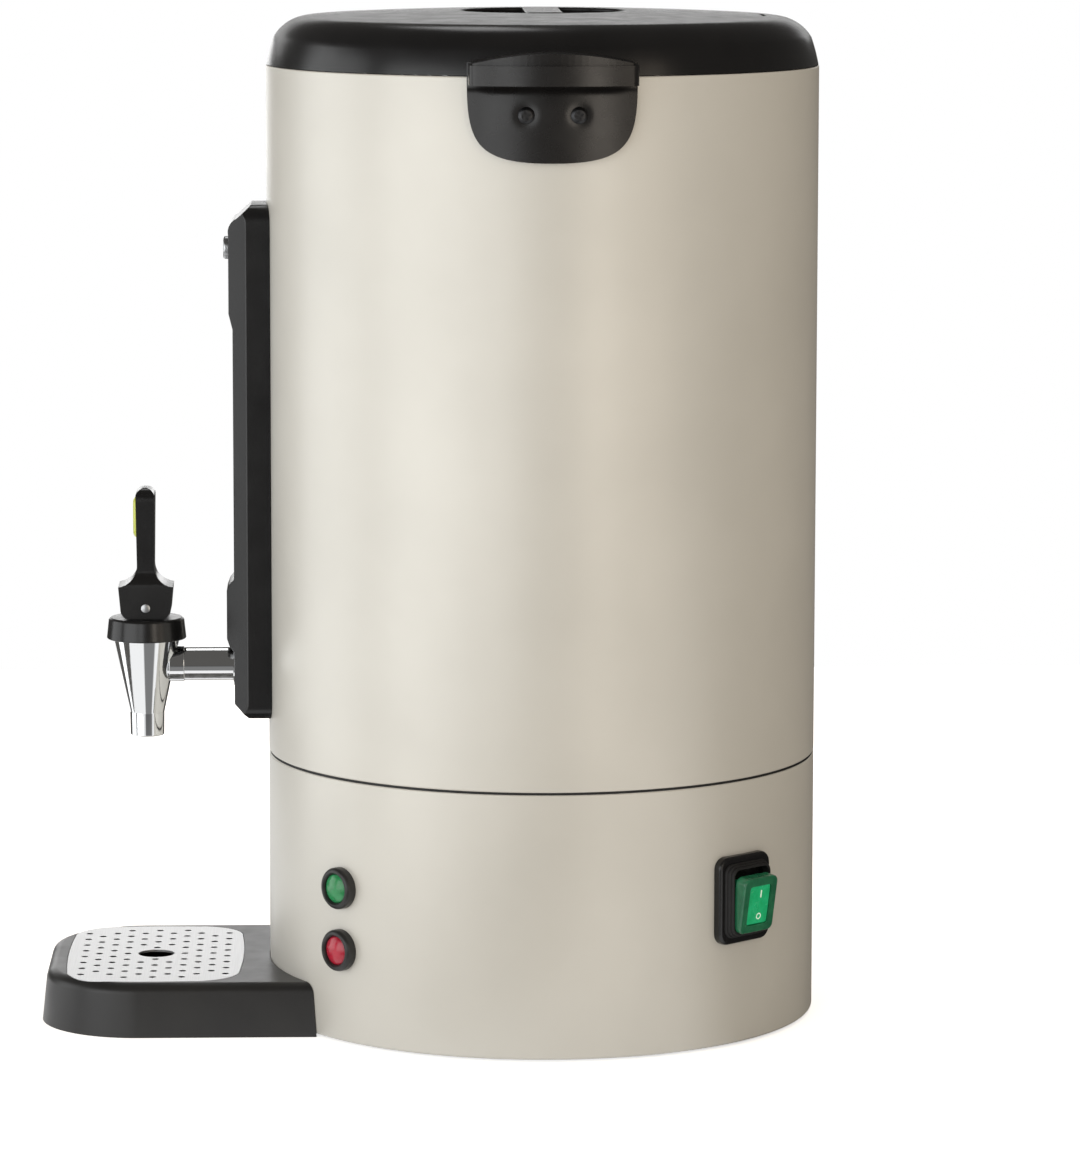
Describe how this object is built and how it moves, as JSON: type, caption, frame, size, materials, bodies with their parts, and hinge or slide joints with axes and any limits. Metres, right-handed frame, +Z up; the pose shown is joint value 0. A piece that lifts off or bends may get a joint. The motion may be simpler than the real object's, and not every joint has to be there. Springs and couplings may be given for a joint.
{
  "type": "coffee percolator",
  "caption": "Coffee percolator: tall painted drum with a turning lift-off lid, side handles, sight gauge, cam-lever tap over a drip tray, lamps and a rocker switch.",
  "frame": {"origin": "on the drum's axis, level with the table under the feet", "axes": "+Z up; -Y towards the tap and the drip tray; +X towards the side with the lamps and the switch"},
  "size_m": [0.304, 0.3536, 0.4575],
  "materials": {
    "grey_paint": "matt warm light grey powder coat",
    "dark_rubber": "matt black rubber",
    "galvanised_steel": "plain galvanised sheet",
    "screw_steel": "turned stainless steel",
    "stainless_steel": "satin stainless sheet",
    "black_moulding": "satin black heat-proof moulding",
    "tray_moulding": "satin black moulding",
    "pale_silicone": "soft translucent silicone",
    "clear_glass": "clear tube",
    "white_strip": "matt white strip",
    "chrome_plate": "polished chrome plate",
    "brass": "machined brass",
    "lime_insert": "smooth lime moulding",
    "grid_steel": "brushed stainless sheet",
    "red_lens": "translucent red lens",
    "green_lens": "translucent green lens",
    "white_nylon": "natural nylon",
    "green_rocker": "translucent green rocker",
    "green_boot": "soft translucent green cover",
    "cast_aluminium": "plain aluminium",
    "bakelite": "brown phenolic moulding"
  },
  "bodies": {
    "drum": {"base_shell_right": "grey_paint", "base_shell_rear": "grey_paint", "base_shell_left": "grey_paint", "base_shell_front": "grey_paint", "body_shell": "grey_paint", "foot_ring": "galvanised_steel", "joint_ring": "galvanised_steel", "seam_gasket": "dark_rubber", "base_plate": "galvanised_steel", "rubber_feet": "dark_rubber", "base_screws": "screw_steel", "inner_tank": "stainless_steel", "rim_collar": "black_moulding", "handle_right": "black_moulding", "handle_left": "black_moulding", "handle_screws": "screw_steel", "gauge_housing": "black_moulding", "column_screw": "screw_steel", "sight_glass": "clear_glass", "glass_seals": "pale_silicone", "gauge_scale": "white_strip", "tap_body": "chrome_plate", "tap_sleeve": "black_moulding", "tap_gasket": "pale_silicone", "tap_nut": "brass", "tap_cap": "black_moulding", "tap_spring": "screw_steel", "lamp_rings": "black_moulding", "lamp_lens_red": "red_lens", "lamp_lens_green": "green_lens", "lamp_barrels": "white_nylon", "lamp_nuts": "white_nylon", "switch_frame": "black_moulding", "cord_gland": "dark_rubber", "heat_plate": "cast_aluminium", "terminal_block": "white_nylon", "pump_heater": "cast_aluminium", "warm_heater": "cast_aluminium", "thermostat": "bakelite", "safety_cutout": "bakelite"},
    "seal": {"lid_seal": "pale_silicone"},
    "lid": {"lid_shell": "black_moulding", "lid_liner": "stainless_steel", "lid_screws": "screw_steel"},
    "stem": {"pump_stem": "stainless_steel"},
    "valve": {"pump_valve": "stainless_steel"},
    "basket": {"coffee_basket": "stainless_steel"},
    "spreader": {"basket_spreader": "stainless_steel"},
    "tap_stem_body": {"tap_stem": "screw_steel", "tap_seat_cup": "pale_silicone"},
    "lever": {"tap_lever": "black_moulding", "lever_pin": "screw_steel", "lever_insert": "lime_insert"},
    "rocker": {"switch_rocker": "green_rocker", "switch_boot": "green_boot"},
    "tray": {"drip_tray": "tray_moulding"},
    "grid": {"tray_grid": "grid_steel"}
  },
  "joints": [
    {"name": "lid_lift", "type": "slide", "parent": "drum", "child": "seal", "axis": [0, 0, 1], "range_m": [0, 0.5]},
    {"name": "lid_turn", "type": "hinge", "parent": "seal", "child": "lid", "pos_m": [0, 0, 0.44], "axis": [0, 0, 1], "range_deg": [0, 30]},
    {"name": "stem_lift", "type": "slide", "parent": "drum", "child": "stem", "axis": [0, 0, 1], "range_m": [0, 0.321]},
    {"name": "valve_lift", "type": "slide", "parent": "stem", "child": "valve", "axis": [0, 0, 1], "range_m": [0, 0.002]},
    {"name": "basket_lift", "type": "slide", "parent": "stem", "child": "basket", "axis": [0, 0, 1], "range_m": [0, 0.101]},
    {"name": "spreader_lift", "type": "slide", "parent": "basket", "child": "spreader", "axis": [0, 0, 1], "range_m": [0, 0.051]},
    {"name": "tap_lift", "type": "slide", "parent": "drum", "child": "tap_stem_body", "axis": [0, 0, 1], "range_m": [0, 0.0047], "deforming": ["tap_spring"]},
    {"name": "lever_tilt", "type": "hinge", "parent": "tap_stem_body", "child": "lever", "pos_m": [0, -0.1808, 0.1862], "axis": [1, 0, 0], "range_deg": [0, 40], "stiffness_Nm_per_rad": 0.25, "springref_deg": -11.46},
    {"name": "rocker_tilt", "type": "hinge", "parent": "drum", "child": "rocker", "pos_m": [0.08988, 0.0847, 0.067], "axis": [0.6858, -0.7278, 0], "range_deg": [0, 17.4]},
    {"name": "tray_slide", "type": "slide", "parent": "drum", "child": "tray", "axis": [0, -1, 0], "range_m": [0, 0.12]},
    {"name": "grid_lift", "type": "slide", "parent": "tray", "child": "grid", "axis": [0, 0, 1], "range_m": [0, 0.06]}
  ],
  "couplings": [
    {"joint": "stem_lift", "follows": "lid_lift", "ratio": 0.64},
    {"joint": "basket_lift", "follows": "lid_lift", "ratio": 0.2},
    {"joint": "spreader_lift", "follows": "lid_lift", "ratio": 0.1},
    {"joint": "tap_lift", "follows": "lever_tilt", "m_per_rad": 0.0066}
  ]
}
